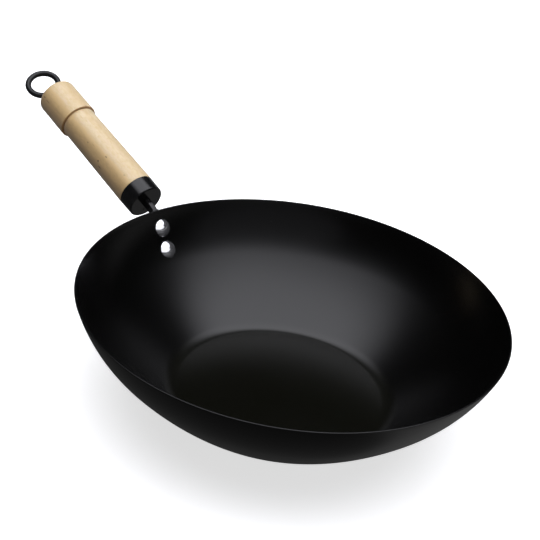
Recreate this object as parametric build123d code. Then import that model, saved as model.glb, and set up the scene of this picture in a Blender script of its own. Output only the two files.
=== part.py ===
from build123d import *
from math import acos, atan2, cos, degrees, hypot, radians, sin, sqrt
import os

# A flat-bottomed wok of pressed steel sheet with one long handle. Lengths are in millimetres.
# The base rests on z = 0 and is centred on the origin. The handle points along +X and rises from the wall.

# Bowl, measured on the outside of the sheet
rim_radius = 150.0
bowl_height = 79.2
base_radius = 79.9
base_bend_radius = 12.0
sheet = 1.2
rim_round = 0.4

# The wall is two arcs, tangent where they meet. Each slope is counted from the straight line that joins
# the base's corner to the rim: the wall starts flatter than that line and ends steeper.
wall_start_lag_deg = 14.7
wall_meet_lag_deg = 0.5
wall_end_lead_deg = 23.2

# Clearances
seat_gap = 0.15
fit_gap = 0.1
loose_gap = 0.3
overrun = 40.0

# Rivets: the first one's distance from the rim, along the wall, and the step to the second
rivet_drop = 14.7
rivet_pitch = 17.2
rivet_count = 2
rivet_radius = 3.0
head_radius = 6.6
head_height = 3.1
head_edge = 0.5
tail_radius = 5.0
tail_height = 2.2
tail_edge = 1.4

# Handle line: how far below the rim it crosses the rim's radius, and how steeply it rises
handle_drop = 5.46
handle_rise_deg = 19.0

# Bracket: a pad riveted to the wall, bent outwards into a stem folded down both sides
pad_width = 20.0
pad_end = 9.6
pad_taper = 15.5
pad_dressing = 0.3
strip = 1.6
stem_width = 5.0
stem_depth = 6.1
stem_top = 3.7
stem_corner = 1.5
stem_bend_radius = 28.0
flange_start = 5.8
tang_depth = 5.0
tang_length = 43.1

# Ferrule: a cup over the front of the grip. Places along the handle are counted from its line's start
ferrule_start = 15.74
ferrule_length = 13.4
ferrule_front_radius = 14.5
ferrule_back_radius = 14.7
ferrule_edge_round = 1.3
ferrule_wall = 1.2
ferrule_face = 1.4
face_hole_radius = 0.8
face_hole_drop = 7.6

# Grip: a turned wooden handle in two diameters with a scorched groove at the step
grip_front_radius = 14.82
grip_waist_radius = 14.00
grip_collar_radius = 15.64
grip_end_radius = 15.62
grip_barrel = 83.2
grip_collar_length = 35.5
grip_end_round = 3.6
grip_shoulder_round = 0.5
grip_step_round = 0.7
groove_depth = 0.7
groove_width = 1.3
mouth_radius = 4.4
mouth_depth = 2.2

# Tie nut on the end of the tang, and the hanging eye screwed into it
nut_across_flats = 7.5
nut_length = 12.0
nut_sides = 6
thread_reach = 9.0
wire_radius = 2.05
eye_radius = 12.3
eye_stand_off = 0.8
eye_neck_radius = 2.3
eye_closing_gap = 0.3
eye_roll_deg = -19.8

FULL_TURN = 360.0
HALF_TURN = 180.0
QUARTER_TURN = 90.0


def outward(slope):
    """Unit direction square to that tangent, pointing down and away from the bowl."""
    return Vector(sin(slope), -cos(slope))


# The two radii of the wall follow from its run, its rise and the three slopes.
wall_run = rim_radius - base_radius
chord_slope = atan2(bowl_height, wall_run)
start_slope = chord_slope - radians(wall_start_lag_deg)
meet_slope = chord_slope - radians(wall_meet_lag_deg)
end_slope = chord_slope + radians(wall_end_lead_deg)
low_step = outward(meet_slope) - outward(start_slope)
high_step = outward(end_slope) - outward(meet_slope)
turning = low_step.X * high_step.Y - high_step.X * low_step.Y
low_radius = (wall_run * high_step.Y - high_step.X * bowl_height) / turning
high_radius = (low_step.X * bowl_height - wall_run * low_step.Y) / turning
low_centre = Vector(base_radius, 0) - outward(start_slope) * low_radius
high_centre = low_centre + outward(meet_slope) * (low_radius - high_radius)

# The handle's own frame: its z runs along the handle, its x is sideways and its y is up.
rise = radians(handle_rise_deg)
handle = Plane(
    origin=(rim_radius, 0, bowl_height - handle_drop),
    x_dir=(0, 1, 0),
    z_dir=(cos(rise), 0, sin(rise)),
)
line_start = Vector(rim_radius, bowl_height - handle_drop)
line_up = Vector(-sin(rise), cos(rise))

# Places along the handle
ferrule_end = ferrule_start + ferrule_length
grip_step = ferrule_end + grip_barrel
grip_end = grip_step + grip_collar_length
tang_end = ferrule_start + tang_length
nut_end = tang_end + nut_length
eye_centre = grip_end + eye_stand_off + wire_radius + eye_radius

# Bore of the grip: wide enough for the stem's tang and for the nut's corners
nut_corner_radius = nut_across_flats / 2 / cos(radians(FULL_TURN / nut_sides / 2))
bore_radius = max(hypot(stem_width / 2, stem_top), nut_corner_radius) + loose_gap
shank_bore_radius = wire_radius + loose_gap


def wall_arc(centre, radius, from_slope, to_slope):
    """Arc in the upright plane whose tangent turns from one slope to the other."""
    start_angle = degrees(from_slope) - QUARTER_TURN
    return CenterArc((centre.X, centre.Y), radius, start_angle, degrees(to_slope - from_slope))


def wall_curve(gap):
    """The two arcs of the wall moved outwards by gap, from the base's level there up to the rim's level."""
    floor_slope = acos((low_centre.Y + gap) / (low_radius + gap))
    rim_slope = acos((high_centre.Y - bowl_height) / (high_radius + gap))
    low = wall_arc(low_centre, low_radius + gap, floor_slope, meet_slope)
    high = wall_arc(high_centre, high_radius + gap, meet_slope, rim_slope)
    return low, high


def filled_bowl(gap):
    """Solid of revolution of everything inside the wall moved outwards by gap, up to the rim's level."""
    low, high = wall_curve(gap)
    corner = low @ 0
    rim = high @ 1
    floor = Line((0, -gap), corner)
    lid = Line(rim, (0, bowl_height))
    axis = Line((0, bowl_height), (0, -gap))
    section = make_face([floor, low, high, lid, axis])
    bend = section.vertices().sort_by_distance(corner)[0]
    section = fillet(bend, base_bend_radius + gap)
    return revolve(Plane.XZ * section, Axis.Z, FULL_TURN)


def wall_frame(slope):
    """Frame on the outside of the wall where it has this slope: z points into the bowl, y up the wall."""
    spot = high_centre + outward(slope) * high_radius
    inward = outward(slope) * -1
    return Plane(origin=(spot.X, 0, spot.Y), x_dir=(0, -1, 0), z_dir=(inward.X, 0, inward.Y))


rivet_slopes = [end_slope - (rivet_drop + k * rivet_pitch) / high_radius for k in range(rivet_count)]
rivet_frames = [wall_frame(slope) for slope in rivet_slopes]


def rivet_holes(radius):
    """Round bars through the wall on the rivets' axes."""
    return [frame * Cylinder(radius, overrun) for frame in rivet_frames]


def make_bowl():
    """Pressed bowl of one thickness, its rim trimmed level and rounded, with the two rivet holes."""
    bowl = filled_bowl(0) - filled_bowl(-sheet)
    rim_edges = bowl.edges().filter_by(GeomType.CIRCLE).group_by(Axis.Z)[-1]
    bowl = fillet(rim_edges, rim_round)
    return bowl - rivet_holes(rivet_radius + fit_gap)


# The strip lies on the wall's upper arc, then turns outwards on a tangent arc into the stem's line.
strip_on_wall = high_radius + seat_gap - pad_dressing
bend_line = line_start + line_up * (stem_top - stem_bend_radius)
line_along = Vector(cos(rise), sin(rise))
to_bend_line = bend_line - high_centre
ahead = to_bend_line.dot(line_along)
reach = strip_on_wall + stem_bend_radius
bend_run = sqrt(ahead**2 - to_bend_line.dot(to_bend_line) + reach**2) - ahead
bend_centre = bend_line + line_along * bend_run
bend_direction = (bend_centre - high_centre).normalized()
leave_slope = atan2(bend_direction.X, -bend_direction.Y)


def bend_point(slope, depth):
    """Point in the bend where the strip has this slope, at a depth below its top face."""
    return bend_centre - outward(slope) * (stem_bend_radius - depth)


def strip_band(top_depth, back_depth):
    """Side view of the strip between two depths: up the wall and round the bend."""
    low_slope = rivet_slopes[-1] - pad_end / high_radius
    depths = (top_depth, back_depth)
    on_wall = [
        wall_arc(high_centre, strip_on_wall + depth, low_slope, leave_slope) for depth in depths
    ]
    bends = [
        ThreePointArc(
            bend_point(leave_slope, depth),
            bend_point((leave_slope + rise) / 2, depth),
            bend_point(rise, depth),
        )
        for depth in depths
    ]
    ends = [Line(on_wall[0] @ 0, on_wall[1] @ 0), Line(bends[0] @ 1, bends[1] @ 1)]
    return make_face(on_wall + bends + ends)


def across(section, width):
    """Solid of this width, half to each side of the upright plane that holds the section."""
    return extrude(Plane.XZ * section, width / 2, both=True)


def make_pad():
    """Riveted pad: the strip trimmed to a rounded end and a taper, its inner face dressed to the wall."""
    middle = wall_frame((rivet_slopes[0] + rivet_slopes[-1]) / 2)
    shoulder = rivet_pitch * (rivet_count - 1) / 2
    tip = shoulder + pad_taper
    tip_half = stem_width / 2 - stem_corner
    half = pad_width / 2
    round_low = -shoulder - pad_end
    round_high = round_low + half
    outline = make_face(
        [
            ThreePointArc((-half, round_high), (0, round_low), (half, round_high)),
            Line((half, round_high), (half, shoulder)),
            TangentArc((half, shoulder), (tip_half, tip), tangent=(0, 1)),
            Line((tip_half, tip), (-tip_half, tip)),
            TangentArc((-half, shoulder), (-tip_half, tip), tangent=(0, 1)),
            Line((-half, shoulder), (-half, round_high)),
        ]
    )
    pad = across(strip_band(0, strip), pad_width) & extrude(middle * outline, overrun, both=True)
    return pad - filled_bowl(seat_gap)


def stem_section(depth):
    """Section of the folded stem about the handle's line: a rounded top with a side folded down each way."""
    outer = Pos(0, stem_top - depth / 2) * Rectangle(stem_width, depth)
    inner_width = stem_width - 2 * strip
    inner = Pos(0, stem_top - strip - depth / 2) * Rectangle(inner_width, depth)
    inner_round = min(stem_corner, inner_width / 2) / 2
    outer = fillet(outer.vertices().group_by(Axis.Y)[-1], stem_corner)
    inner = fillet(inner.vertices().group_by(Axis.Y)[-1], inner_round)
    return outer - inner


def make_bracket():
    """Bracket in one pressing: pad, bend, stem up to the ferrule and a shallower tang inside the grip."""
    bend_end = (bend_point(rise, 0) - line_start).dot(line_along)
    stem = extrude(handle.offset(bend_end) * stem_section(stem_depth), ferrule_start - bend_end)
    tang = extrude(handle.offset(ferrule_start) * stem_section(tang_depth), tang_length)
    flange_arc = rivet_drop - flange_start - (end_slope - leave_slope) * high_radius
    flange_turn = leave_slope - rise + flange_arc / stem_bend_radius
    bend_axis = Axis((bend_centre.X, 0, bend_centre.Y), (0, -1, 0))
    bend = revolve(handle.offset(bend_end) * stem_section(stem_depth), bend_axis, degrees(flange_turn))
    fold_start = bend_point(rise + flange_turn, strip)
    fold_end = bend_point(rise, stem_depth)
    fold_line = Polyline(bend_centre, fold_start, fold_end, close=True)
    bend -= across(make_face(fold_line), stem_width)
    bracket = make_pad() + bend + stem + tang
    return bracket - rivet_holes(rivet_radius + fit_gap)


def button(radius, base, edge, top):
    """Round button about z: a straight edge from base up to edge, then a dome up to top."""
    section = make_face(
        [
            Line((0, base), (radius, base)),
            Line((radius, base), (radius, edge)),
            TangentArc((0, top), (radius, edge), tangent=(1, 0)),
            Line((0, top), (0, base)),
        ]
    )
    return revolve(Plane.XZ * section, Axis.Z, FULL_TURN)


def make_rivet(frame):
    """Rivet with a domed head seated on the inside of the wall and a closed tail on the bracket's back."""
    pad_back = strip_on_wall + strip - high_radius
    head = frame * button(head_radius, 0, sheet + head_edge, sheet + head_height)
    head &= filled_bowl(-sheet - fit_gap)
    outwards = Plane(origin=frame.origin, x_dir=frame.x_dir, z_dir=-frame.z_dir)
    tail = outwards * button(tail_radius, 0, pad_back + tail_edge, pad_back + tail_height)
    tail -= across(strip_band(-pad_back, strip + fit_gap), pad_width)
    length = sheet + pad_back + head_edge + tail_edge
    centre_height = (sheet + head_edge - pad_back - tail_edge) / 2
    shank = frame * Pos(0, 0, centre_height) * Cylinder(rivet_radius, length)
    return head + shank + tail


def turned(points, rounds):
    """Solid turned about the handle's line from points given as radius and place along it.

    Rounds pairs a point with the radius of the arc that rounds it off.
    """
    section = make_face(Polyline(*points, close=True))
    for point, radius in rounds:
        corner = section.vertices().sort_by_distance(Vector(*point))[0]
        section = fillet(corner, radius)
    return handle.location * revolve(Plane.XZ * section, Axis.Z, FULL_TURN)


def make_ferrule():
    """Ferrule: a cup that widens towards the grip, slotted for the tang, with one small hole in its face."""
    front = (ferrule_front_radius, ferrule_start)
    face_inside = ferrule_start + ferrule_face
    outline = [
        (0, ferrule_start),
        front,
        (ferrule_back_radius, ferrule_end),
        (ferrule_back_radius - ferrule_wall, ferrule_end),
        (ferrule_front_radius - ferrule_wall, face_inside),
        (0, face_inside),
    ]
    cup = turned(outline, [(front, ferrule_edge_round)])
    slot = Pos(0, stem_top - tang_depth / 2) * Rectangle(
        stem_width + 2 * loose_gap, tang_depth + 2 * loose_gap
    )
    slot = fillet(slot.vertices().group_by(Axis.Y)[-1], stem_corner + loose_gap)
    hole = Pos(0, -face_hole_drop) * Circle(face_hole_radius)
    return cup - extrude(handle.offset(ferrule_start) * (slot + hole), ferrule_length / 2, both=True)


def make_grip():
    """Grip turned from one piece of wood: tenon, tapering barrel, scorched groove, collar and round end."""
    tenon_gap = ferrule_wall + fit_gap
    tenon_start = ferrule_start + ferrule_face + fit_gap
    pocket_end = nut_end + loose_gap
    shoulder = (grip_front_radius, ferrule_end)
    step = (grip_collar_radius, grip_step)
    end = (grip_end_radius, grip_end)
    outline = [
        (bore_radius, tenon_start),
        (ferrule_front_radius - tenon_gap, tenon_start),
        (ferrule_back_radius - tenon_gap, ferrule_end),
        shoulder,
        (grip_waist_radius, grip_step - groove_width),
        (grip_waist_radius - groove_depth, grip_step),
        step,
        end,
        (mouth_radius, grip_end),
        (shank_bore_radius, grip_end - mouth_depth),
        (shank_bore_radius, pocket_end),
        (bore_radius, pocket_end),
    ]
    return turned(outline, [(shoulder, grip_shoulder_round), (step, grip_step_round), (end, grip_end_round)])


def make_nut():
    """Long nut joined end to end with the tang."""
    section = RegularPolygon(nut_across_flats / 2, nut_sides, major_radius=False)
    section -= Circle(wire_radius + fit_gap)
    return extrude(handle.offset(tang_end) * section, nut_length)


def make_eye():
    """Hanging eye bent from one wire: a straight shank, a tight neck and an open ring that starts from it."""
    roll = radians(eye_roll_deg)
    sideways = handle.x_dir * cos(roll) + handle.y_dir * sin(roll)
    eye_plane = Plane(origin=handle.origin, x_dir=sideways, z_dir=sideways.cross(handle.z_dir))
    neck_start = eye_centre - eye_radius - eye_neck_radius
    centres = eye_radius + eye_neck_radius
    outside = eye_radius + wire_radius
    clear = eye_neck_radius + wire_radius + eye_closing_gap
    closing = degrees(acos((centres**2 + outside**2 - clear**2) / (2 * centres * outside)))
    shank = Line((0, nut_end - thread_reach), (0, neck_start))
    neck = CenterArc((eye_neck_radius, neck_start), eye_neck_radius, HALF_TURN, -QUARTER_TURN)
    ring = CenterArc((eye_neck_radius, eye_centre), eye_radius, -QUARTER_TURN, FULL_TURN - closing)
    route = eye_plane * Wire([shank, neck, ring])
    wire = Plane(origin=route @ 0, z_dir=route % 0) * Circle(wire_radius)
    return sweep(wire, path=route)


def main():
    """Build every piece and write each to its own file."""
    pieces = {
        "bowl": make_bowl(),
        "handle_bracket": make_bracket(),
        "rivets": Compound([make_rivet(frame) for frame in rivet_frames]),
        "ferrule": make_ferrule(),
        "grip": make_grip(),
        "tie_nut": make_nut(),
        "hanging_eye": make_eye(),
    }
    os.makedirs("parts", exist_ok=True)
    for name, piece in pieces.items():
        piece.label = name
        export_step(piece, f"parts/{name}.step")


main()
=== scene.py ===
from math import acos, atan2, ceil, cos, pi, radians, sin, sqrt, tau

import bmesh
import bpy
import numpy as np
from mathutils import Matrix, Vector


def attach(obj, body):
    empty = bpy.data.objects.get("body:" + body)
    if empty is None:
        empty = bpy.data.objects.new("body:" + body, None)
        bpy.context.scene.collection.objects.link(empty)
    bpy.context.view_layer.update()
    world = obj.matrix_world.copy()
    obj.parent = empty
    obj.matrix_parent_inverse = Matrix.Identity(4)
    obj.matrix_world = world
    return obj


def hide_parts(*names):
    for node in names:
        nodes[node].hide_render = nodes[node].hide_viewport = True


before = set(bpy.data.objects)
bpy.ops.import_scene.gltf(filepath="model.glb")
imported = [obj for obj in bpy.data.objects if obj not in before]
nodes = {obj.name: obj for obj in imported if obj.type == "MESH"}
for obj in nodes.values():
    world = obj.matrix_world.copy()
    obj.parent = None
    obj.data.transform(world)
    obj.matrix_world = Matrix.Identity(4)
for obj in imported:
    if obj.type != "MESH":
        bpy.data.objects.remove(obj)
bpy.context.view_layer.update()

# A flat-bottomed wok: the finish of each surface, and fine skins for the bowl, the grip and the
# hanging eye. Lengths are in metres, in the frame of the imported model.

# Bowl
rim_radius = 0.150
bowl_height = 0.0792
base_radius = 0.0799
base_bend_radius = 0.020
sheet = 0.0012
rim_round = 0.0004
wall_start_lag = radians(14.7)
wall_meet_lag = radians(0.5)
wall_end_lead = radians(23.2)

# Handle line and the places along it
handle_drop = 0.00546
handle_rise = radians(19.0)
ferrule_end = 0.02914
grip_step = 0.1129
grip_end = 0.14784
nut_end = 0.07084

# Grip
tenon_front_radius = 0.0132
tenon_back_radius = 0.0134
tenon_start = 0.01724
grip_front_radius = 0.01482
grip_waist_radius = 0.01415
grip_collar_radius = 0.01582
grip_end_radius = 0.01572
grip_end_round = 0.0036
grip_shoulder_round = 0.0005
grip_step_round = 0.0007
groove_depth = 0.0004
groove_width = 0.0007
mouth_radius = 0.0044
mouth_depth = 0.0022
bore_radius = 0.00477
shank_bore_radius = 0.00235

# Hanging eye
shank_radius = 0.00205
shank_in_nut = 0.009
wire_radius = 0.00235
wire_end_round = 0.0004
eye_radius = 0.0122
eye_stand_off = 0.0006
eye_neck_radius = 0.0026
eye_closing_gap = 0.0003
eye_roll = radians(-19.8)
shank_start = nut_end - shank_in_nut
eye_centre = grip_end + eye_stand_off + wire_radius + eye_radius

# Fineness of the new surfaces
wall_step = 0.0025
bend_step = 0.0008
round_step = 0.0001
flat_step = 0.004
wire_step = 0.0005
bowl_turns = 360
grip_turns = 160
wire_turns = 32
wire_end_rows = 6
merge_distance = 1e-7
sharp_angle = radians(35)

# Camera, found by fitting the bowl's rim and the handle's outline to the photo
camera_place = Vector((-0.4327, 0.5080, 0.4677))
view_azimuth = radians(-137.87)
view_elevation = radians(29.05)
view_roll = radians(8.57)
lens_mm = 74.9
sensor_mm = 36.0

# Softbox overhead, found by fitting the sheen inside the bowl. Its layers are shares of its size.
softbox_place = (-0.037, -0.146)
softbox_height = 1.4
softbox_turn = radians(44.7)
softbox_width = 2.46
softbox_depth = 1.80
softbox_brightness = 2.88
softbox_tint = (0.98, 0.985, 1.05)
softbox_layers = (0.757, 0.936, 1.064, 1.243)
layer_step = 0.01

# Softboxes beside, for the rivets, below and behind
side_place = (-1.592, 0.743, 1.324)
side_width = 3.6
side_depth = 1.7
side_brightness = 0.18
rivet_place = (0.139, 0, 0.059)
rivet_light_place = (-1.30, 0.52, 1.35)
rivet_light_width = 4.4
rivet_light_depth = 1.9
rivet_light_brightness = 1.2
fill_size = 1.2
below_place = (0.5, 0.9, -0.7)
below_brightness = 0.42
behind_place = (0.3, -1.3, 0.5)
behind_brightness = 0.6

# Room, by direction: brightness of its parts, and the heights and sides between which they fade
room_white = (1, 1, 1, 1)
room_above = 0.001
room_band = 0.36
room_floor = 0.054
room_bright_floor = 0.21
bright_azimuth = radians(245)
dark_azimuth = radians(38)
horizon_heights = (sin(radians(4)), sin(radians(12)))
band_heights = (-0.60, -0.30)
band_sides = (0.45, 0.75)
bright_tilt = 0.4
bright_heights = (-0.75, -0.66)
bright_sides = (-0.5, 0.0)

# Floor that curves up into a wall, with a glow that grows between two distances from the middle
cove_radius = 5.0
cove_bend = 2.0
cove_height = 7.0
cove_step = 0.25
cove_bend_step = 0.14
cove_turns = 96
floor_drop = 0.0002
floor_tone = {"size": 0.4, "detail": 2}
floor_dim = (0.90, 0.90, 0.90, 1)
floor_light = (0.92, 0.92, 0.92, 1)
floor_roughness = 0.9
glow_distances = (0.4, 1.8)
glow_near = (0.68, 0.68, 0.68, 1)
glow_away = (0.95, 0.95, 0.95, 1)
glow_strength = 1.0

# In the finishes below, each pattern is a noise: the size of its features in metres, its squeeze
# along the third axis, which draws it out where it is below 1, and how it is made. Two ends are
# where a smooth step starts and stops. A share is how much of a colour shows at most. A height is
# the relief in metres.
noise_middle = 0.5

# Black coating
coating_peel = {"size": 0.0011, "detail": 2}
coating_ripple = {"size": 0.035, "detail": 1}
coating_cloud = {"size": 0.045, "detail": 3}
coating_rubs = {"size": 0.0017, "detail": 4, "roughness": 0.7}
rub_ends = (0.70, 0.78)
base_ends = (0.0, 0.006)
coating_deep = (0.0007, 0.0007, 0.0006, 1)
coating_thin = (0.0011, 0.0011, 0.0010, 1)
coating_base = (0.0015, 0.0016, 0.0001, 1)
rub_colour = (0.03, 0.03, 0.03, 1)
rub_share = 0.12
coating_roughness = 0.245
cloud_roughness = 0.03
rub_roughness = 0.08
base_smoothness = 0.04
peel_height = 0.0000022
ripple_height = 0.00002
coating_reflection = 0.417

# Black paint
gloss_roughness = 0.10
satin_roughness = 0.28
paint_uneven = {"size": 0.004, "detail": 2}
paint_grain = {"size": 0.0006, "detail": 2}
paint_deep = (0.006, 0.006, 0.0063, 1)
paint_thin = (0.010, 0.010, 0.0105, 1)
grain_roughness = 0.05
paint_uneven_height = 0.00002
grain_height = 0.0000015
paint_reflection = 0.36

# Steel of the rivets
rivet_marks = {"size": 0.0016, "squeeze": 5, "detail": 3}
rivet_uneven = {"size": 0.004, "detail": 1}
rivet_dull = (0.70, 0.70, 0.72, 1)
rivet_bright = (0.80, 0.80, 0.82, 1)
rivet_metal = 0.93
rivet_roughness = 0.06
rivet_mark_roughness = 0.06
rivet_uneven_height = 0.00004
rivet_mark_height = 0.000003

# Steel of the nut
nut_stain = {"size": 0.003, "detail": 3}
nut_dull = (0.42, 0.41, 0.40, 1)
nut_bright = (0.58, 0.57, 0.56, 1)
nut_metal = 1.0
nut_roughness = 0.35
stain_roughness = 0.15
stain_height = 0.00002

# Wood
wood_clouds = {"size": 0.0021, "squeeze": 0.45, "detail": 3, "roughness": 0.6, "distortion": 0.7}
wood_blush = {"size": 0.0026, "squeeze": 0.4, "detail": 2, "roughness": 0.6}
wood_streaks = {"size": 0.0042, "squeeze": 0.05, "detail": 2, "distortion": 0.3}
wood_threads = {"size": 0.0007, "squeeze": 0.03, "detail": 3}
wood_pores = {"size": 0.00035, "squeeze": 0.10, "detail": 1}
wood_ragged = {"size": 0.0008, "detail": 2}
wood_colour = (0.83, 0.68, 0.42, 1)
cloud_colour = (0.73, 0.55, 0.265, 1)
cloud_ends = (0.3, 0.7)
blush_colour = (0.84, 0.66, 0.47, 1)
blush_ends = (0.45, 0.7)
blush_share = 0.6
streak_colour = (0.72, 0.50, 0.22, 1)
streak_ends = (0.35, 0.65)
streak_share = 0.4
thread_colour = (0.62, 0.42, 0.20, 1)
thread_share = 0.25
pore_colour = (0.36, 0.20, 0.08, 1)
pore_ends = (0.66, 0.74)
pore_share = 0.2
cloud_waver = 0.5
streak_waver = 0.6
# Painted shade on the grip, set by the turn about the handle: its lower and +x sides are tan, and a
# band low on the +x side is darker still
painted_shade_colour = (0.79, 0.545, 0.24, 1)
painted_shade_rise = (radians(-100), radians(-40))
painted_shade_fall = (radians(44), radians(60))
painted_shade_share = 0.8
painted_deep_shade_colour = (0.40, 0.235, 0.09, 1)
painted_deep_shade_rise = (radians(-75), radians(-15))
painted_deep_shade_fall = (radians(0), radians(48))
painted_deep_shade_share = 0.75
mark_colour = (0.15, 0.06, 0.015, 1)
mark_ends = (0.3, 1.2)
mark_raggedness = 1.2
# Darker brown line at the groove, over the grip's step and onto the collar's rounding
groove_line_colour = (0.33, 0.15, 0.02, 1)
groove_line_share = 0.85
wood_roughness = 0.40
thread_roughness = 0.10
groove_line_roughness = 0.2
thread_height = 0.00001
pore_depth = 0.000015
lathe_pitch = 0.0009
lathe_height = 0.0000012
wood_reflection = 0.9
wood_fuzz = 0.4

# Where the darker brown line at the groove rises and falls, in widths of the groove past the grip's
# step
groove_line_rise = (-0.5, -0.1)
groove_line_fall = (0.4, 0.9)

# Marks in the wood that the photo shows: turn about the handle, distance along it, half width,
# half length, strength
wood_marks = (
    (radians(49), 0.0379, 0.0007, 0.0010, 0.3),
    (radians(43), 0.0612, 0.0006, 0.0014, 0.7),
    (radians(14), 0.0647, 0.0009, 0.0011, 1.0),
    (radians(2), 0.0608, 0.0008, 0.0024, 0.8),
    (radians(28), 0.0830, 0.0008, 0.0012, 0.45),
    (radians(36), 0.0775, 0.0003, 0.0030, 0.25),
    (radians(17), 0.1427, 0.0006, 0.0010, 1.0),
    (radians(15), 0.1376, 0.0005, 0.0028, 0.5),
    (radians(101), 0.1138, 0.0010, 0.0010, 0.3),
)

scene = bpy.context.scene


def outward(slope):
    """Directions square to a wall of these slopes, down and away, as radius and height."""
    return np.stack([np.sin(slope), -np.cos(slope)], axis=-1)


def swept(centre, radius, from_slope, to_slope, step):
    """Points of the arc about centre, its tangent turning from one slope to the other, about a step
    apart: centre plus radius times the outward direction."""
    count = max(2, ceil(abs(to_slope - from_slope) * radius / step)) + 1
    return np.asarray(centre) + radius * outward(np.linspace(from_slope, to_slope, count))


def circled(centre, radius, turns):
    """Points of a circle at these turns: its centre plus radius times their cosine and sine."""
    return np.array(centre) + radius * np.stack([np.cos(turns), np.sin(turns)], axis=-1)


def straight(start, end, step):
    """Points of the straight line from start to end, about a step apart."""
    start, end = np.asarray(start, float), np.asarray(end, float)
    count = max(1, ceil(np.linalg.norm(end - start) / step)) + 1
    return start + np.linspace(0, 1, count)[:, None] * (end - start)


def joined(runs):
    """One run of points from several that start where the last one ended."""
    return np.concatenate([runs[0]] + [run[1:] for run in runs[1:]])


def rounded(corners, step, corner_step):
    """Closed outline through the corners, each given by its two coordinates and its rounding.

    A rounding's arc touches both sides at radius / tan(half the corner's angle) from the corner.
    """
    points, rounds = np.array(corners)[:, :2], np.array(corners)[:, 2]
    stations = []
    for number, (point, radius) in enumerate(zip(points, rounds)):
        if radius == 0:
            stations.append(point[None, :])
            continue
        back = points[number - 1] - point
        ahead = points[(number + 1) % len(points)] - point
        back, ahead = back / np.linalg.norm(back), ahead / np.linalg.norm(ahead)
        half = acos(np.clip(back @ ahead, -1, 1)) / 2
        middle = (back + ahead) / np.linalg.norm(back + ahead)
        centre = point + middle * radius / sin(half)
        count = max(3, ceil((pi - 2 * half) * radius / corner_step)) + 1
        swing = np.linspace(half - pi / 2, pi / 2 - half, count)[:, None]
        side = np.sign(middle[0] * ahead[1] - middle[1] * ahead[0])
        across = np.array([-middle[1], middle[0]]) * side
        stations.append(centre - radius * (np.cos(swing) * middle - np.sin(swing) * across))
    runs = []
    for number, station in enumerate(stations):
        following = stations[(number + 1) % len(stations)]
        runs.append(station[:-1])
        runs.append(straight(station[-1], following[0], step)[:-1])
    return np.concatenate(runs)


def surface(name, points, wrap_rows=False):
    """Mesh over a grid of points, rows by columns, closed across its columns.

    A row whose points coincide becomes one vertex, which closes a pole. With wrap_rows the last row
    joins the first, as on a ring.
    """
    rows, columns = points.shape[:2]
    numbers = np.arange(rows * columns).reshape(rows, columns)
    beside = np.roll(numbers, -1, axis=1)
    above, above_beside = np.roll(numbers, -1, axis=0), np.roll(beside, -1, axis=0)
    quads = np.stack([numbers, beside, above_beside, above], axis=-1)
    if not wrap_rows:
        quads = quads[:-1]
    mesh = bpy.data.meshes.new(name)
    mesh.from_pydata(points.reshape(-1, 3).tolist(), [], quads.reshape(-1, 4).tolist())
    shell = bmesh.new()
    shell.from_mesh(mesh)
    bmesh.ops.remove_doubles(shell, verts=shell.verts, dist=merge_distance)
    bmesh.ops.recalc_face_normals(shell, faces=shell.faces)
    shell.to_mesh(mesh)
    shell.free()
    mesh.shade_smooth()
    mesh.set_sharp_from_angle(angle=sharp_angle)
    piece = bpy.data.objects.new(name, mesh)
    scene.collection.objects.link(piece)
    return piece


def turned(profile, turns, place):
    """Grid of a profile, given as radius and height, turned about the z axis of a place."""
    angles = np.linspace(0, tau, turns, endpoint=False)
    radius, height = profile[:, :1], profile[:, 1:]
    across = radius * np.cos(angles)
    along = radius * np.sin(angles)
    local = np.stack([across, along, np.broadcast_to(height, across.shape)], axis=-1)
    turn = np.array(place.to_3x3())
    return local @ turn.T + np.array(place.translation)


# The handle's own frame: x sideways, y up, z along the handle
handle_frame = Matrix(
    (
        (0, -sin(handle_rise), cos(handle_rise), rim_radius),
        (1, 0, 0, 0),
        (0, cos(handle_rise), sin(handle_rise), bowl_height - handle_drop),
        (0, 0, 0, 1),
    )
)

# The wall's two arcs follow from its run, its rise and three slopes.
wall_run = rim_radius - base_radius
chord_slope = atan2(bowl_height, wall_run)
start_slope = chord_slope - wall_start_lag
meet_slope = chord_slope - wall_meet_lag
end_slope = chord_slope + wall_end_lead
low_step = outward(meet_slope) - outward(start_slope)
high_step = outward(end_slope) - outward(meet_slope)
turning = low_step[0] * high_step[1] - high_step[0] * low_step[1]
low_radius = (wall_run * high_step[1] - high_step[0] * bowl_height) / turning
high_radius = (low_step[0] * bowl_height - wall_run * low_step[1]) / turning
low_centre = np.array([base_radius, 0]) - outward(start_slope) * low_radius
high_centre = low_centre + outward(meet_slope) * (low_radius - high_radius)


def bowl_side(gap, edge_shift):
    """Floor, bend and wall of one side of the sheet, from the axis up to where the rim's rounding
    starts.

    Gap moves the side outwards. The rounding's circle touches the level rim and this side, so its
    centre lies edge_shift further from the upper arc's centre than the side does.
    """
    apart = low_radius - base_bend_radius
    drop = low_centre[1] - base_bend_radius
    bend_centre = (low_centre[0] + sqrt(apart**2 - drop**2), base_bend_radius)
    bend_slope = acos(drop / apart)
    rounding_level = high_centre[1] - bowl_height + rim_round
    rim_slope = acos(rounding_level / (high_radius + gap + edge_shift))
    rounding_centre = high_centre + (high_radius + gap + edge_shift) * outward(rim_slope)
    runs = [
        straight((0, -gap), (bend_centre[0], -gap), flat_step),
        swept(bend_centre, base_bend_radius + gap, 0, bend_slope, bend_step),
        swept(low_centre, low_radius + gap, bend_slope, meet_slope, wall_step),
        swept(high_centre, high_radius + gap, meet_slope, rim_slope, wall_step),
    ]
    return joined(runs), rounding_centre, rim_slope


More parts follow.
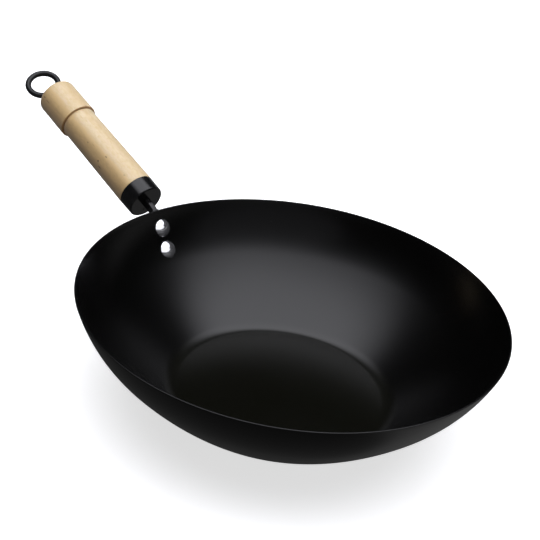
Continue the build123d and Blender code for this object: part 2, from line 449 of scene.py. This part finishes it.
def make_bowl():
    """Bowl's skin: the section of the sheet, its rim's edges rounded, turned about the z axis."""
    outside, outer_centre, outer_slope = bowl_side(0, -rim_round)
    inside, inner_centre, inner_slope = bowl_side(-sheet, rim_round)
    outer_round = swept(outer_centre, rim_round, outer_slope, pi, round_step)
    inner_round = swept(inner_centre, rim_round, pi, pi + inner_slope, round_step)
    profile = np.concatenate([outside, outer_round[1:], inner_round, inside[::-1][1:]])
    return surface("bowl_pressed", turned(profile, bowl_turns, Matrix.Identity(4)))


def make_grip():
    """Grip's skin: the outline of the turned wood, its shoulder, step and end rounded, turned about
    the handle. Each corner is a radius, a place along the handle and a rounding."""
    corners = [
        (bore_radius, tenon_start, 0),
        (tenon_front_radius, tenon_start, 0),
        (tenon_back_radius, ferrule_end, 0),
        (grip_front_radius, ferrule_end, grip_shoulder_round),
        (grip_waist_radius, grip_step - groove_width, 0),
        (grip_waist_radius - groove_depth, grip_step, 0),
        (grip_collar_radius, grip_step, grip_step_round),
        (grip_end_radius, grip_end, grip_end_round),
        (mouth_radius, grip_end, 0),
        (shank_bore_radius, grip_end - mouth_depth, 0),
        (shank_bore_radius, nut_end, 0),
        (bore_radius, nut_end, 0),
    ]
    profile = rounded(corners, flat_step, round_step)
    return surface("grip_turned", turned(profile, grip_turns, handle_frame), wrap_rows=True)


def make_eye():
    """Eye's wire: a circle carried along the shank, a quarter turn of neck and the open ring.

    The route lies in one plane, so each circle stands on the route's inward direction and the
    plane's normal. The shank is thinner than the ring, and widens in the grip's mouth. Each end is
    domed: its reach follows the sine of the dome's angle and its narrowing 1 minus the cosine.
    """
    centres = eye_radius + eye_neck_radius
    outside = eye_radius + wire_radius
    clear = eye_neck_radius + wire_radius + eye_closing_gap
    closing = acos((centres**2 + outside**2 - clear**2) / (2 * centres * outside))
    neck_start = eye_centre - eye_radius - eye_neck_radius
    neck_turns = np.linspace(pi, pi / 2, ceil(pi / 2 * eye_neck_radius / wire_step))
    ring_turns = np.linspace(
        -pi / 2, 3 * pi / 2 - closing, ceil(tau * eye_radius / wire_step)
    )
    route = joined(
        [
            straight((0, shank_start), (0, neck_start), wire_step),
            circled((eye_neck_radius, neck_start), eye_neck_radius, neck_turns),
            circled((eye_neck_radius, eye_centre), eye_radius, ring_turns),
        ]
    )
    along = np.gradient(route, axis=0)
    along /= np.linalg.norm(along, axis=1, keepdims=True)
    inward = np.stack([-along[:, 1], along[:, 0]], axis=-1)
    widening = (grip_end - mouth_depth, grip_end)
    width = np.interp(route[:, 1], widening, (shank_radius, wire_radius))[:, None]
    dome = np.linspace(pi / 2, 0, wire_end_rows)[:, None]
    reach = wire_end_round * np.sin(dome)
    narrowing = wire_end_round * (1 - np.cos(dome))
    middles = np.concatenate(
        [
            route[:1] - along[:1] * wire_end_round,
            route[0] - along[0] * reach,
            route,
            route[-1] + along[-1] * reach[::-1],
            route[-1:] + along[-1:] * wire_end_round,
        ]
    )
    widths = np.concatenate(
        [[[0]], width[0] - narrowing, width, width[-1] - narrowing[::-1], [[0]]]
    )
    rows = wire_end_rows + 1
    sides = np.concatenate([inward[:1].repeat(rows, 0), inward, inward[-1:].repeat(rows, 0)])
    angles = np.linspace(0, tau, wire_turns, endpoint=False)
    in_plane = middles[:, None, :] + (widths * np.cos(angles))[:, :, None] * sides[:, None, :]
    off_plane = widths * np.sin(angles)
    handle_turn = np.array(handle_frame.to_3x3())
    sideways = handle_turn @ np.array([cos(eye_roll), sin(eye_roll), 0])
    lengthways = handle_turn[:, 2]
    normal = np.cross(sideways, lengthways)
    points = (
        in_plane[:, :, :1] * sideways
        + in_plane[:, :, 1:] * lengthways
        + off_plane[:, :, None] * normal
        + np.array(handle_frame.translation)
    )
    return surface("eye_wire", points)


class Value:
    """One output of a shader's node. Python's operators on it add Math nodes."""

    def __init__(self, finish, socket):
        self.finish = finish
        self.socket = socket

    def maths(self, operation, *operands):
        sockets = dict(enumerate(operands))
        return self.finish.node("ShaderNodeMath", {"operation": operation}, sockets)

    def __add__(self, other):
        return self.maths("ADD", self, other)

    def __radd__(self, other):
        return self.maths("ADD", other, self)

    def __sub__(self, other):
        return self.maths("SUBTRACT", self, other)

    def __rsub__(self, other):
        return self.maths("SUBTRACT", other, self)

    def __mul__(self, other):
        return self.maths("MULTIPLY", self, other)

    def __rmul__(self, other):
        return self.maths("MULTIPLY", other, self)

    def __pow__(self, other):
        return self.maths("POWER", self, other)

    def sine(self):
        return self.maths("SINE", self)

    def turn_from(self, across):
        """Angle of a point with this height and this distance across, from -pi to pi."""
        return self.maths("ARCTAN2", self, across)

    def at_least(self, other):
        return self.maths("MAXIMUM", self, other)


# The Mix node's sockets for its share and its two colours, and its output for the mixed colour
mix_share, mix_first, mix_second = 0, 6, 7
mix_colour = 2


class Finish:
    """The nodes of a material or of the room. It adds nodes and gives their outputs as values."""

    def __init__(self, owner):
        self.owner = owner
        self.owner.use_nodes = True
        self.tree = self.owner.node_tree
        self.tree.nodes.clear()

    def node(self, kind, settings=None, sockets=None, output=0):
        """Adds a node, makes its settings, fills its sockets with values or links, and gives one
        output."""
        made = self.tree.nodes.new(kind)
        for name, value in (settings or {}).items():
            setattr(made, name, value)
        for key, value in (sockets or {}).items():
            if isinstance(value, Value):
                self.tree.links.new(value.socket, made.inputs[key])
            else:
                made.inputs[key].default_value = value
        return Value(self, made.outputs[output]) if made.outputs else None

    def place(self):
        """Place on the object, in metres."""
        return self.node("ShaderNodeTexCoord", output="Object")

    def in_frame(self, place, local_frame):
        """The same place in a frame of its own."""
        sockets = {
            "Vector": place,
            "Location": local_frame.translation,
            "Rotation": local_frame.to_euler(),
        }
        return self.node("ShaderNodeMapping", {"vector_type": "TEXTURE"}, sockets)

    def split(self, place):
        """The three coordinates of a place."""
        made = self.node("ShaderNodeSeparateXYZ", sockets={"Vector": place}).socket.node
        return [Value(self, output) for output in made.outputs]

    def noise(self, place, size, squeeze=1, detail=2.0, roughness=0.5, distortion=0.0):
        """Noise from 0 to 1 with features of about this size in metres. The third coordinate is
        first multiplied by squeeze, which draws the features out that way where it is below 1."""
        if squeeze != 1:
            sockets = {"Vector": place, "Scale": (1, 1, squeeze)}
            place = self.node("ShaderNodeMapping", {"vector_type": "POINT"}, sockets)
        sockets = {
            "Vector": place,
            "Scale": 1 / size,
            "Detail": detail,
            "Roughness": roughness,
            "Distortion": distortion,
        }
        return self.node("ShaderNodeTexNoise", sockets=sockets)

    def step(self, value, ends):
        """0 below the first end and 1 above the second, with a smooth rise between."""
        sockets = {"Value": value, "From Min": ends[0], "From Max": ends[1]}
        return self.node("ShaderNodeMapRange", {"interpolation_type": "SMOOTHSTEP"}, sockets)

    def mixed(self, share, first, second):
        """First colour where share is 0 and second where it is 1."""
        settings = {"data_type": "RGBA", "clamp_factor": True}
        sockets = {mix_share: share, mix_first: first, mix_second: second}
        return self.node("ShaderNodeMix", settings, sockets, output=mix_colour)

    def bump(self, height):
        """Normal of a surface raised by height, in metres."""
        sockets = {"Height": height, "Distance": 1.0, "Strength": 1.0}
        return self.node("ShaderNodeBump", sockets=sockets)

    def shade(self, sockets):
        """Puts a Principled shader with these sockets on the surface and gives the material."""
        shader = self.node("ShaderNodeBsdfPrincipled", sockets=sockets)
        self.node("ShaderNodeOutputMaterial", sockets={"Surface": shader})
        return self.owner


def black_coating():
    """Satin black coating: a faint orange peel, slow changes of gloss, a smoother base and a few
    rubbed spots."""
    finish = Finish(bpy.data.materials.new("black_coating"))
    place = finish.place()
    height = finish.split(place)[2]
    peel = finish.noise(place, **coating_peel)
    ripple = finish.noise(place, **coating_ripple)
    cloud = finish.noise(place, **coating_cloud)
    rubs = finish.step(finish.noise(place, **coating_rubs), rub_ends)
    base = 1 - finish.step(height, base_ends)
    colour = finish.mixed(cloud, coating_deep, coating_thin)
    colour = finish.mixed(base, colour, coating_base)
    worn = coating_roughness + cloud * cloud_roughness + rubs * rub_roughness
    return finish.shade(
        {
            "Base Color": finish.mixed(rubs * rub_share, colour, rub_colour),
            "Roughness": worn - base * base_smoothness,
            "Specular IOR Level": coating_reflection,
            "Normal": finish.bump(peel * peel_height + ripple * ripple_height),
        }
    )


def black_paint(name, roughness):
    """Black paint with a slight unevenness and a fine grain."""
    finish = Finish(bpy.data.materials.new(name))
    place = finish.place()
    uneven = finish.noise(place, **paint_uneven)
    grain = finish.noise(place, **paint_grain)
    return finish.shade(
        {
            "Base Color": finish.mixed(uneven, paint_deep, paint_thin),
            "Roughness": roughness + grain * grain_roughness,
            "Specular IOR Level": paint_reflection,
            "Normal": finish.bump(uneven * paint_uneven_height + grain * grain_height),
        }
    )


def polished_steel():
    """Polished rivet steel with faint marks."""
    finish = Finish(bpy.data.materials.new("polished_steel"))
    place = finish.place()
    marks = finish.noise(place, **rivet_marks)
    uneven = finish.noise(place, **rivet_uneven)
    return finish.shade(
        {
            "Base Color": finish.mixed(marks, rivet_dull, rivet_bright),
            "Metallic": rivet_metal,
            "Roughness": rivet_roughness + marks * rivet_mark_roughness,
            "Normal": finish.bump(uneven * rivet_uneven_height + marks * rivet_mark_height),
        }
    )


def plain_steel():
    """Plain turned steel, dull and a little stained."""
    finish = Finish(bpy.data.materials.new("plain_steel"))
    stain = finish.noise(finish.place(), **nut_stain)
    return finish.shade(
        {
            "Base Color": finish.mixed(stain, nut_dull, nut_bright),
            "Metallic": nut_metal,
            "Roughness": nut_roughness + stain * stain_roughness,
            "Normal": finish.bump(stain * stain_height),
        }
    )


def pale_wood():
    """Pale turned wood: clouds and streaks drawn out lengthwise, fine pores, marks and a darker
    brown line at the groove.
    Painted shade: by the turn about the handle, the lower and +x sides are tan, with a darker brown
    band low on the +x side."""
    finish = Finish(bpy.data.materials.new("pale_wood"))
    place = finish.in_frame(finish.place(), handle_frame)
    side, up, along = finish.split(place)
    turn = up.turn_from(side)
    clouds = finish.noise(place, **wood_clouds)
    blush = finish.noise(place, **wood_blush)
    streaks = finish.noise(place, **wood_streaks)
    threads = finish.noise(place, **wood_threads)
    pores = finish.step(finish.noise(place, **wood_pores), pore_ends)
    ragged = finish.noise(place, **wood_ragged)

    colour = finish.mixed(finish.step(clouds, cloud_ends), wood_colour, cloud_colour)
    colour = finish.mixed(finish.step(blush, blush_ends) * blush_share, colour, blush_colour)
    colour = finish.mixed(finish.step(streaks, streak_ends) * streak_share, colour, streak_colour)
    colour = finish.mixed(threads * thread_share, colour, thread_colour)
    colour = finish.mixed(pores * pore_share, colour, pore_colour)

    # Painted shade by the turn about the handle: tan over the lower and +x sides, a darker band low
    # on the +x side
    wavering = turn + (clouds - noise_middle) * cloud_waver
    wavering = wavering + (streaks - noise_middle) * streak_waver
    painted_shade_side = finish.step(wavering, painted_shade_rise) * (1 - finish.step(wavering, painted_shade_fall))
    painted_deep_shade = finish.step(wavering, painted_deep_shade_rise) * (1 - finish.step(wavering, painted_deep_shade_fall))
    colour = finish.mixed(painted_shade_side * painted_shade_share, colour, painted_shade_colour)
    colour = finish.mixed(painted_deep_shade * painted_deep_shade_share, colour, painted_deep_shade_colour)

    for mark_turn, mark_along, half_width, half_length, strength in wood_marks:
        sideways = (turn - mark_turn) * (grip_waist_radius / half_width)
        lengthways = (along - mark_along) * (1 / half_length)
        reach = (sideways * sideways + lengthways * lengthways) ** 0.5
        reach = reach + (ragged - noise_middle) * mark_raggedness
        inside = 1 - finish.step(reach, mark_ends)
        colour = finish.mixed(inside * strength, colour, mark_colour)

    # Darker brown line from the groove over the grip's step onto the collar's rounding, rougher
    # there too
    into_groove = finish.step(along, [grip_step + groove_width * end for end in groove_line_rise])
    past_groove = finish.step(along, [grip_step + groove_width * end for end in groove_line_fall])
    groove_line = into_groove * (1 - past_groove)
    lathe = (along * (tau / lathe_pitch)).sine()
    relief = threads * thread_height + lathe * lathe_height - pores * pore_depth
    return finish.shade(
        {
            "Base Color": finish.mixed(groove_line * groove_line_share, colour, groove_line_colour),
            "Roughness": wood_roughness + threads * thread_roughness + groove_line * groove_line_roughness,
            "Specular IOR Level": wood_reflection,
            "Sheen Weight": wood_fuzz,
            "Normal": finish.bump(relief),
        }
    )


def pale_floor():
    """Matt pale sheet that glows a little, and more so away from the object."""
    finish = Finish(bpy.data.materials.new("pale_floor"))
    place = finish.place()
    across, deep, height = finish.split(place)
    distance = (across * across + deep * deep + height * height) ** 0.5
    away = finish.step(distance, glow_distances)
    return finish.shade(
        {
            "Base Color": finish.mixed(finish.noise(place, **floor_tone), floor_dim, floor_light),
            "Roughness": floor_roughness,
            "Emission Color": finish.mixed(away, glow_near, glow_away),
            "Emission Strength": glow_strength,
        }
    )


def dress(piece, material):
    """Puts one material on every face of a piece."""
    if not piece.material_slots:
        piece.data.materials.append(material)
    for slot in piece.material_slots:
        slot.material = material


def stand_for(piece, node, material):
    """A new piece takes the place of a CAD node."""
    dress(piece, material)
    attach(piece, "root")
    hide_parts(node)


def add_softbox(name, place, aim, turn, width, depth, brightness, only_for=None):
    """Oval soft light, turned about its own axis. Its power is the brightness of its face times pi
    times its area. With only_for it lights that piece alone."""
    lamp = bpy.data.lights.new(name, "AREA")
    lamp.shape = "ELLIPSE"
    lamp.size = width
    lamp.size_y = depth
    lamp.color = softbox_tint
    lamp.energy = brightness * pi * (pi / 4 * width * depth)
    holder = bpy.data.objects.new(name, lamp)
    facing = (Vector(aim) - Vector(place)).to_track_quat("-Z", "Y").to_matrix().to_4x4()
    holder.matrix_world = Matrix.Translation(place) @ facing @ Matrix.Rotation(turn, 4, "Z")
    scene.collection.objects.link(holder)
    if only_for:
        lit = bpy.data.collections.new(name)
        lit.objects.link(only_for)
        holder.light_linking.receiver_collection = lit
    return holder


def add_camera():
    """Camera at the photo's angle: turned round z, raised, then rolled about its line of sight."""
    lens = bpy.data.cameras.new("camera")
    lens.lens = lens_mm
    lens.sensor_width = sensor_mm
    camera = bpy.data.objects.new("camera", lens)
    turn = Matrix.Rotation(view_azimuth, 4, "Z")
    raised = Matrix.Rotation(pi / 2 - view_elevation, 4, "X")
    roll = Matrix.Rotation(view_roll, 4, "Z")
    camera.matrix_world = Matrix.Translation(camera_place) @ turn @ raised @ roll
    scene.collection.objects.link(camera)
    scene.camera = camera


def add_floor():
    """Level pale floor that curves up into a wall all round, far from the object.

    Its profile is a straight run, a quarter circle and an upright, turned about the z axis. It lies
    a little below the base, and only the camera sees it.
    """
    curve = swept((cove_radius, cove_bend), cove_bend, 0, pi / 2, cove_bend_step)
    top = (cove_radius + cove_bend, cove_height)
    run = straight((0, 0), curve[0], cove_step)
    upright = straight(curve[-1], top, cove_step)
    place = Matrix.Translation((0, 0, -floor_drop))
    floor = surface("floor", turned(joined([run, curve, upright]), cove_turns, place))
    dress(floor, pale_floor())
    floor.visible_glossy = False
    floor.visible_diffuse = False
    floor.visible_shadow = False


def add_room():
    """Room around the object: dark above, a soft band at and below the horizon, and a dim floor.

    The floor is brighter on the camera's right. The camera's left has neither that nor the band.
    """
    room = Finish(bpy.data.worlds.new("room"))
    across, deep, height = room.split(room.node("ShaderNodeTexCoord", output="Generated"))
    bright_side = across * cos(bright_azimuth) + deep * sin(bright_azimuth)
    dark_side = across * cos(dark_azimuth) + deep * sin(dark_azimuth)
    below = 1 - room.step(height, horizon_heights)
    band = room.step(height, band_heights) * (1 - room.step(dark_side, band_sides))
    raised = height + bright_side * bright_tilt
    bright = room.step(raised, bright_heights) * (1 - room.step(dark_side, bright_sides))
    ground = room_floor + bright * (room_bright_floor - room_floor)
    strength = room_above + below * (ground.at_least(band * room_band) - room_above)
    sockets = {"Color": room_white, "Strength": strength}
    background = room.node("ShaderNodeBackground", sockets=sockets)
    room.node("ShaderNodeOutputWorld", sockets={"Surface": background})
    scene.world = room.owner


def add_light():
    """One wide oval softbox overhead, as four layers for its soft edge, and dim ones beside, below
    and behind.

    The rivets have a brighter one of their own, and those below and behind are kept out of
    reflections.
    """
    for number, share in enumerate(softbox_layers):
        add_softbox(
            f"softbox_overhead_{number}",
            (*softbox_place, softbox_height + number * layer_step),
            (*softbox_place, 0.0),
            softbox_turn,
            softbox_width * share,
            softbox_depth * share,
            softbox_brightness / len(softbox_layers),
        )
    middle = (0, 0, 0)
    add_softbox("softbox_side", side_place, middle, 0, side_width, side_depth, side_brightness)
    add_softbox(
        "softbox_rivets",
        rivet_light_place,
        rivet_place,
        0,
        rivet_light_width,
        rivet_light_depth,
        rivet_light_brightness,
        only_for=nodes["rivets"],
    )
    grip_root = handle_frame.translation
    fills = {"below": (below_place, below_brightness), "behind": (behind_place, behind_brightness)}
    for name, (place, brightness) in fills.items():
        size = (fill_size, fill_size)
        fill = add_softbox(f"softbox_{name}", place, grip_root, 0, *size, brightness)
        fill.visible_glossy = False
    scene.view_settings.view_transform = "Standard"


gloss = black_paint("gloss_black_paint", gloss_roughness)
dress(nodes["ferrule"], gloss)
dress(nodes["handle_bracket"], gloss)
dress(nodes["rivets"], polished_steel())
dress(nodes["tie_nut"], plain_steel())
stand_for(make_bowl(), "bowl", black_coating())
stand_for(make_grip(), "grip", pale_wood())
satin = black_paint("satin_black_paint", satin_roughness)
stand_for(make_eye(), "hanging_eye", satin)
add_floor()
add_room()
add_light()
add_camera()
